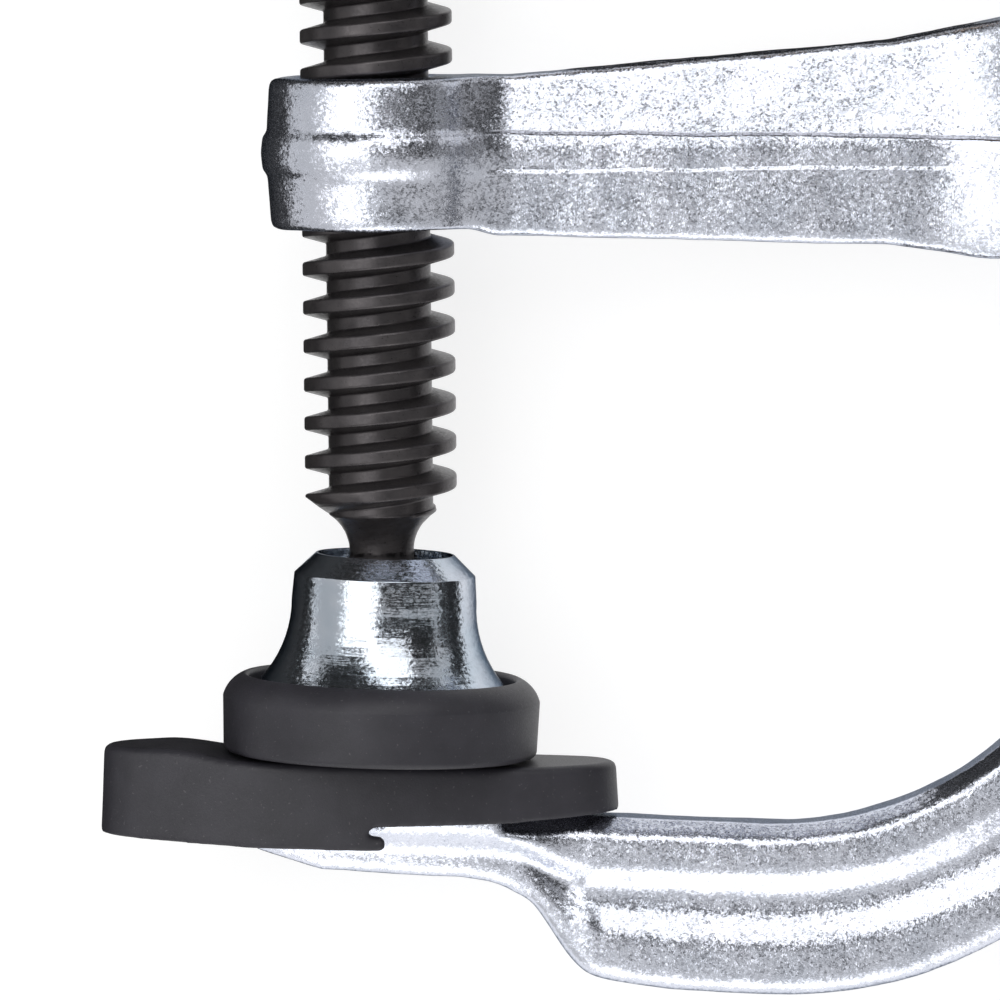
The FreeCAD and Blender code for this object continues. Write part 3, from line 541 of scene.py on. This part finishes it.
def read_off(table, value):
    """A value between the stops of a table, by straight lines."""
    for (low, first), (high, second) in zip(table, table[1:]):
        if value <= high:
            share = min(max((value - low) / (high - low), 0.0), 1.0)
            return first + (second - first) * share
    return table[-1][1]


BROAD_DENTS = 4.5
FINE_DENTS = 1.6
ARM_UNEVEN = 0.10
RAIL_UNEVEN = 0.07


def hand_forged(place, depth):
    """Small unevenness of a forged skin, as a move of a point, the same on each run by its seed."""
    broad = noise.noise_vector(place / BROAD_DENTS) * depth
    return broad + noise.noise_vector(place / FINE_DENTS) * depth * 0.3


# The arm's own sizes: where it leaves the eye and meets the rail head, the band of its trimmed
# flash, how its faces slope away from the parting line, and how far it flares into the head.

ARM_HALF = 5.0
ARM_FROM = 7.0
ARM_TO = 52.0
HEAD_FROM = 46.0
FLASH_BAND = (45.5, 48.8)
FLASH_MIDDLE = 47.2
FLASH_DEPTH = 0.4
FACE_SLOPE = 0.07
UPPER_FROM = 47.6
UPPER_LEAN = math.radians(9)
LOWER_FROM = 45.6
EYE_THINNING = 0.18
FLARE_FROM = 42.39
FLARE_SPAN = 7.6
FLARE_R = 14.0


def arm_half(along):
    """Half the arm's thickness at its parting line: even, then flaring into the rail head."""
    flare = min(max(along - FLARE_FROM, 0.0), FLARE_SPAN)
    return ARM_HALF + FLARE_R - math.sqrt(FLARE_R * FLARE_R - flare * flare)


def arm_skin(place):
    """The arm's flash is trimmed nearly flush, its upper half leans in more than the eye does, it
    is thinner near the eye, its lower edge lies a little lower, and its skin is uneven."""
    reach = math.hypot(place.x, place.z)
    beyond = eased(place.x, 7.5, 9.5)
    past_eye = eased(place.x, ARM_FROM, 10.5)
    before_head = 1 - eased(place.x, HEAD_FROM, ARM_TO)
    if beyond and place.x < 50 and FLASH_BAND[0] < place.y < FLASH_BAND[1]:
        face = arm_half(place.x) - abs(place.y - FLASH_MIDDLE) * FACE_SLOPE
        spare = max(abs(place.z) - face, 0.0)
        place.z -= math.copysign(min(spare, FLASH_DEPTH) * beyond, place.z)
    lean = max(place.y - UPPER_FROM, 0.0) * math.tan(UPPER_LEAN)
    place.z -= math.copysign(lean * (past_eye * before_head), place.z)
    place.z *= 1 - EYE_THINNING * (1 - eased(place.x, 0.0, 60.0)) * past_eye
    drop = (0.55 + 0.006 * place.x) * eased(LOWER_FROM - place.y, 0.0, 4.5)
    place.y -= drop * eased(place.x, ARM_FROM, 9.5) * before_head
    away = eased(reach, 6.6, 7.6) * (1 - eased(place.x, ARM_TO, 56.0))
    return place + hand_forged(place, ARM_UNEVEN * away)


# Tables of the fixed arm. Its shoulder rises from the jaw's head to the rail's own section, which
# is full from GROOVE_FROM on. Pairs run along the arm: half its thickness, the depth of the lower
# flange's upper edge with the edge's softness and height, the upper edge, and the underside's
# depth with how far it is moved down.

SLOPE = math.radians(3)
HEAD_DEPTH = 3.8
GROOVE_FROM = 17.2
SHOULDER = [(-25.0, 6.3), (0.0, 6.3), (8.0, 5.3), (10.0, 4.8), (12.0, 4.05), (13.0, 3.6),
            (14.5, 3.25)]
FLANGE_TOP = [(9.5, 2.6), (10.7, 3.3), (12.7, 4.9), (15.2, 6.9), (17.2, 8.0)]
FLANGE_SLOPE = [(10.7, 0.35), (12.7, 0.6), (17.2, 1.1)]
FLANGE_RISE = [(10.0, 0.0), (12.7, 0.6), (14.8, 1.0), (16.2, 1.02), (17.2, 0.9)]
TOP_EDGE = [(13.0, -4.55), (16.3, -4.75), (21.4, -4.95), (26.5, -5.23), (31.7, -5.36),
            (34.2, -5.15), (36.8, -4.71), (39.4, -3.95), (41.9, -2.97), (44.5, -1.66),
            (47.1, 0.11), (49.5, 2.2), (52.0, 5.0), (54.0, 8.0)]
TOP_BEVEL = 1.2
BEVEL_FROM = 9.0
BEVEL_TO = 54.0
BEVEL_LEAN = 1.4
BEVEL_LEFT = 1.2
RIDGE_HIGH = 1.9
RIDGE_FALL = 1.0
DIP_FILL = 0.14
UNDERSIDE = [(-5.0, 5.0), (7.5, 5.5), (10.6, 6.5), (12.1, 7.85), (13.7, 10.3), (15.3, 11.7),
             (18.4, 12.6), (28.5, 13.1), (38.0, 12.3)]
UNDERSIDE_MOVE = [(-9.0, 0.35), (-2.6, 0.4), (4.4, 0.68), (6.7, 0.62), (9.0, 0.25), (10.6, 0.05),
                  (12.1, -0.5), (15.3, -0.6), (16.8, -0.45), (18.4, -0.15), (20.7, 0.15),
                  (23.0, 0.4), (38.0, 0.55), (45.0, 0.5), (52.0, 0.0)]


def top_slope(along):
    """How steeply the fixed arm's upper edge rises."""
    return read_off(TOP_EDGE, along + 0.5) - read_off(TOP_EDGE, along - 0.5)


def shoulder_drop(along, depth):
    """How far the sides lie in from the solid's at the jaw's head and the shoulder. They step in
    under the ridge, which moves down and sharpens towards the groove, and rise again to the lower
    flange. The solid's own groove is taken off where it runs out, and the dip there is filled."""
    shift = eased(along, 8.0, 17.0)
    middle = 2.0 + 2.65 * shift
    upper = eased(depth, middle - 1.3 + 0.5 * shift, middle + 1.3 - 0.5 * shift)
    flange, slope = read_off(FLANGE_TOP, along), read_off(FLANGE_SLOPE, along)
    rise = eased(depth, flange - slope, flange + slope) * read_off(FLANGE_RISE, along)
    own = (eased(depth, 3.85, 5.45) - eased(depth, 6.9, 9.1)) * 0.9
    own *= min(max((along - 15.3) / 1.7, 0.0), 1.0)
    fill = DIP_FILL * eased(along, 13.6, 15.8) * (1 - eased(along, 16.2, GROOVE_FROM))
    ridge = (RIDGE_HIGH - RIDGE_FALL * shift) * upper
    return ridge - rise - own - fill * (1 - eased(depth, 3.3, 3.9))


def rail_skin(place):
    """The fixed arm's upper edge is bevelled and its underside lies a little lower. The groove's
    upper slope runs on as a ridge across the shoulder and along the jaw's head, whose sides lean
    in under it; the lower flange narrows up the shoulder. The forged skin is uneven; the rolled
    rail is straighter."""
    along = place.x * math.cos(SLOPE) - place.y * math.sin(SLOPE)
    depth = -place.y * math.cos(SLOPE) - place.x * math.sin(SLOPE) - HEAD_DEPTH
    below = (read_off(TOP_EDGE, place.x) - place.y) * math.cos(math.atan(top_slope(place.x)))
    if BEVEL_FROM < place.x < BEVEL_TO and below < TOP_BEVEL:
        cut = BEVEL_LEAN * (TOP_BEVEL - below) * eased(BEVEL_TO - place.x, 0.0, 6.0)
        room = max(read_off(SHOULDER, along) - cut, BEVEL_LEFT)
        place.z = math.copysign(min(abs(place.z), room), place.z)
    if place.y < 0:
        under = read_off(UNDERSIDE, along)
        lower = read_off(UNDERSIDE_MOVE, along) * eased(depth, 0.45 * under, 0.95 * under)
        place.y -= lower
        depth += lower
    if along < GROOVE_FROM and place.y < 0:
        place.z *= 1 - shoulder_drop(along, depth) / read_off(SHOULDER, along)
    return place + hand_forged(place, RAIL_UNEVEN * (1 - eased(place.y, 10.0, 25.0)))


CAP_LONGER = 0.30
CAP_HIGHER = 0.35


def cap_skin(place):
    """The jaw's cap is a little longer at both ends and higher at its free end, and the hook at its
    side ends further back."""
    place.x += CAP_LONGER * (eased(place.x, 8.0, 18.0) - eased(-place.x, 12.0, 21.0))
    place.y += CAP_HIGHER * eased(-place.x, 11.0, 16.0) * eased(place.y, -3.0, -0.4)
    hook = eased(place.x, -4.0, -0.6) * (1 - eased(place.x, 1.0, 3.0))
    place.x -= hook * (0.42 + 0.43 * eased(-place.y, 6.2, 6.7)) * eased(-place.y, 4.6, 5.2)
    return place


def soft_box(name, across, lift, reach, width, height, level):
    """A soft lamp seen from the clamp at angles across and up from its face, in degrees."""
    data = bpy.data.lights.new(name, "AREA")
    data.shape = "RECTANGLE"
    data.size = width
    data.size_y = height
    data.energy = level * math.pi * width * height
    lamp = new_piece(name, data)
    lamp.visible_camera = False
    lamp.matrix_world = aimed(across, lift, reach)


def dark_sheet(name, corners, shade, lay=None):
    """A dark sheet between corners in millimetres, mirrored by the metal, out of the picture; one
    laid inside the picture's space, hidden from the camera, is a painted dark reflection.
    """
    mesh = bpy.data.meshes.new(name)
    mesh.from_pydata([Vector(corner) * MM for corner in corners], [], [(0, 1, 2, 3)])
    finish = Finish(name)
    mesh.materials.append(finish.surface(Base_Color=(shade, shade, shade, 1), Roughness=1.0))
    sheet = new_piece(name, mesh)
    sheet.visible_camera = False
    sheet.visible_diffuse = False
    sheet.visible_shadow = False
    if lay:
        sheet.matrix_world = lay


def dark_card(name, across, lift, reach, width, height, shade):
    """A dark card seen from the clamp at angles across and up from its face, in degrees."""
    wide, high = width / 2 / MM, height / 2 / MM
    dark_sheet(name, [(-wide, -high, 0), (wide, -high, 0), (wide, high, 0), (-wide, high, 0)],
               shade, aimed(across, lift, reach))


VIEW_TARGET = Vector((9.24, 19.98, 0)) * MM
VIEW_LIFT = 4.6
VIEW_ROLL = 0.6
VIEW_REACH = 0.661
VIEW_LENS = 306


def aimed(across, lift, reach):
    """A place at a distance from the clamp, looking back at it, level with its spindle."""
    across, lift = math.radians(across), math.radians(lift)
    back = Vector((math.sin(across) * math.cos(lift), math.sin(lift),
                   math.cos(across) * math.cos(lift)))
    right = Vector((0, 1, 0)).cross(back).normalized()
    up = back.cross(right)
    turn = Matrix((right, up, back)).transposed().to_4x4()
    return LYING @ Matrix.Translation(VIEW_TARGET + back * reach) @ turn


def set_camera():
    """The photograph's view, with a long lens from a little over the jaws."""
    data = bpy.data.cameras.new("photo_view")
    data.lens = VIEW_LENS
    data.sensor_width = 36
    camera = new_piece("photo_view", data)
    roll = Matrix.Rotation(math.radians(-VIEW_ROLL), 4, "Z")
    camera.matrix_world = aimed(0, VIEW_LIFT, VIEW_REACH) @ roll
    bpy.context.scene.camera = camera


FLOOR_REACH = 6.0
FLOOR_LOW = cad_box[0][2]


def set_floor():
    """A white floor under the clamp, as bright to the eye and in the metal as paper."""
    mesh = bpy.data.meshes.new("floor")
    mesh.from_pydata([(-FLOOR_REACH, -FLOOR_REACH, FLOOR_LOW),
                      (FLOOR_REACH, -FLOOR_REACH, FLOOR_LOW),
                      (FLOOR_REACH, FLOOR_REACH, FLOOR_LOW),
                      (-FLOOR_REACH, FLOOR_REACH, FLOOR_LOW)], [], [(0, 1, 2, 3)])
    finish = Finish("floor")
    light = finish.node("ShaderNodeLightPath")
    mirrored = light.out("Is Glossy Ray") + light.out("Is Transmission Ray")
    seen = light.out("Is Camera Ray") + mirrored
    white = finish.blend(seen, (0, 0, 0), (0.74, 0.74, 0.74))
    mesh.materials.append(finish.surface(Base_Color=(0.36, 0.36, 0.36, 1), Roughness=0.9,
                                         Specular_IOR_Level=0.1,
                                         Emission_Color=white, Emission_Strength=1.0))
    new_piece("floor", mesh)


def set_light():
    """An even studio with soft lamps over the parts that shine, and what the metal mirrors dark:
    cards in front, beside and above, and sheets on the floor, out of the camera's sight. The sheets
    laid on the floor by the clamp and stood in its throat are painted dark reflections, hidden from
    the camera, which sees white floor there."""
    world = bpy.data.worlds.new("studio")
    world.use_nodes = True
    bpy.context.scene.world = world
    background = world.node_tree.nodes["Background"]
    background.inputs["Color"].default_value = (1, 1, 1, 1)
    background.inputs["Strength"].default_value = 0.55

    soft_box("high_box", 6, 42, 0.60, 0.50, 0.50, 1.42)
    soft_box("left_box", -30, 7, 0.60, 0.44, 0.46, 1.45)
    soft_box("low_box", 0, -59, 0.60, 0.60, 0.50, 1.12)
    soft_box("end_box", 60, 72, 0.30, 0.10, 0.12, 1.6)
    dark_card("dark_front", 30, 18, 0.80, 1.16, 0.62, 0.02)
    dark_card("dark_side", 88, 2, 0.80, 0.44, 0.50, 0.04)
    dark_card("dark_high", -52, 57, 0.50, 0.40, 0.36, 0.02)
    dark_card("dark_end", -14, 88, 0.25, 0.46, 0.20, 0.02)
    ground = FLOOR_LOW / MM + 0.5
    # Painted dark reflections: sheets on the floor beside the clamp, hidden from the camera, so the
    # metal mirrors dark floor where the camera sees white.
    dark_sheet("painted_reflection_ground", [(-9, -20, ground), (-38, -20, ground), (-38, 160, ground),
                               (-9, 160, ground)], 0.04)
    dark_sheet("painted_reflection_ground_right", [(14, 42, ground), (46, 42, ground), (46, 118, ground),
                                     (14, 118, ground)], 0.04)
    dark_sheet("dark_left", [(-38, -20, ground), (-38, -20, 2), (-38, 160, 2), (-38, 160, ground)],
               0.04)
    # Painted dark reflection: a sheet stood in the throat, hidden from the camera, that only the
    # metal mirrors.
    dark_sheet("painted_reflection_throat", [(40, 1, ground), (40, 1, 4), (40, 37, 4), (40, 37, ground)], 0.03)


def main():
    bpy.context.scene.view_settings.view_transform = "Standard"
    set_camera()
    set_floor()
    set_light()
    zinc, bright = forged_zinc("forged_zinc"), bright_zinc()
    # parted_zinc carries the painted shade along the arm's parting line.
    parted_zinc = forged_zinc("parted_zinc", parting=True)
    black, plastic, wood = black_steel(), black_plastic(), turned_wood()
    finishes = {"rail": zinc, "sliding_arm": zinc, "rail_stop_pin": bright, "ball_ring": bright,
                "pressure_plate": bright, "handle_ferrule": bright, "handle_pin": bright,
                "fixed_jaw_cap": plastic, "pressure_plate_cap": plastic, "spindle": black,
                "handle": wood}
    for name, material in finishes.items():
        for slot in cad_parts[name].material_slots:
            slot.material = material

    dressed(softened("rail", "rail_forging", grain=0.345, rounds=7, moved=rail_skin), zinc,
            "rail", "forged_zinc", "rail")
    dressed(softened("sliding_arm", "arm_forging", grain=0.275, rounds=6, moved=arm_skin),
            parted_zinc, "sliding_arm", "forged_zinc", "sliding_arm")
    dressed(softened("fixed_jaw_cap", "jaw_cap_moulding", grain=0.22, rounds=2, moved=cap_skin),
            plastic, "rail", "black_plastic", "fixed_jaw_cap")

    dressed(thread_piece(black), black, "spindle", "black_steel", "spindle")
    dressed(turned("spindle_ball", [
        Corner(0, 4.5, bow=4.0), Corner(NECK_R, 11.622), Corner(NECK_R, 16.2)], columns=96),
        black, "spindle", "black_steel", sharp=30)
    dressed(turned("spindle_collar", [
        Corner(MINOR_R, THREAD_END - 0.02), Corner(6.6, THREAD_END - 0.02, 0.5),
        Corner(6.6, 103.4, 0.5), Corner(3.5, 103.4), Corner(3.5, 133.4), Corner(0, 133.4)],
        columns=96), black, "spindle", "black_steel", sharp=30)
    dressed(turned("plate_turning", [
        Corner(0, 2.0), Corner(11.2, 2.0, 0.4), Corner(11.2, 4.2, 0.4), Corner(9.9, 4.2),
        Corner(9.5, 5.9, bow=-9.3), Corner(7.2, 12.3), Corner(7.05, 14.3, 0.10),
        Corner(5.4, 15.9, 0.06), Corner(5.25, 15.9), Corner(5.25, 11.4), Corner(5.8, 11.4),
        Corner(5.8, 9.6), Corner(5.25, 9.6), Corner(5.25, 8.5), Corner(4.08, 8.5, bow=-4.08),
        Corner(0, 4.42)], PLATE_LEAN, 256), bright, "pressure_plate", "bright_zinc",
        "pressure_plate", sharp=30)
    dressed(turned("plate_cap_moulding", [
        Corner(0, 0.33), Corner(12.2, 0.33, 0.5), Corner(12.35, 4.6, bow=2.6),
        Corner(10.8, 6.35, bow=0.4), Corner(10.4, 5.95), Corner(10.4, 4.55), Corner(11.25, 4.55),
        Corner(11.25, 1.95), Corner(0, 1.95)], PLATE_LEAN, 256), plastic, "pressure_plate",
        "black_plastic", "pressure_plate_cap", sharp=30)
    dressed(turned("handle_band", [
        Corner(8.85, 103.45), Corner(9.4, 103.45, 0.25), Corner(9.4, 113.35, 0.25),
        Corner(8.85, 113.35)]), bright, "spindle", "bright_zinc", "handle_ferrule", sharp=30)
    dressed(turned("handle_grip", [
        Corner(3.55, 103.45), Corner(8.8, 103.45), Corner(8.8, 113.4),
        Corner(9.4, 113.4, bow=180.0), Corner(12.3, 154.2, bow=61.5),
        Corner(8.5, 182.4, bow=13.54), Corner(0, 185.4), Corner(0, 134.4),
        Corner(3.55, 134.4)]), wood, "spindle", "wood", "handle", sharp=30)


main()
